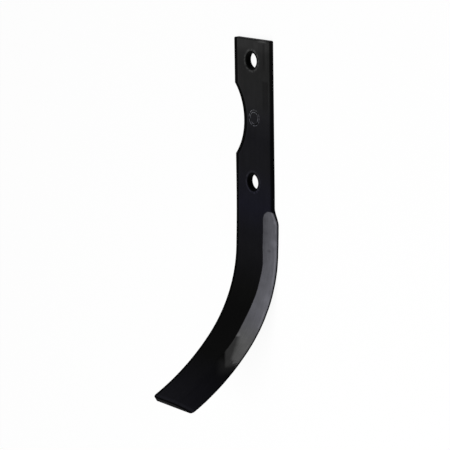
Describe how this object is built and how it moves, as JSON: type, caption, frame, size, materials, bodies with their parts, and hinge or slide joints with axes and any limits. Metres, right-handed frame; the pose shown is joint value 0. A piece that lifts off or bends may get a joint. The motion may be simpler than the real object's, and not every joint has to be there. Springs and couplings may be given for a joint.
{
  "type": "rotary tiller blade",
  "caption": "Flat steel blade for a tiller rotor: drilled, notched shank with a forged bevel along one edge, swept sideways and curved up to a square-cut tip.",
  "frame": {"origin": "point on the flat back face of the shank, halfway between the centres of the bolt holes", "axes": "+Z out of the front face, +Y up the shank through the bolt holes towards its top end, +X across the shank towards the bevelled cutting edge"},
  "size_m": [0.0536, 0.2383, 0.0653],
  "materials": {
    "black_paint": "satin black paint, worn thin on the forged bevel"
  },
  "bodies": {
    "root": {"tiller_blade": "black_paint"}
  },
  "joints": []
}
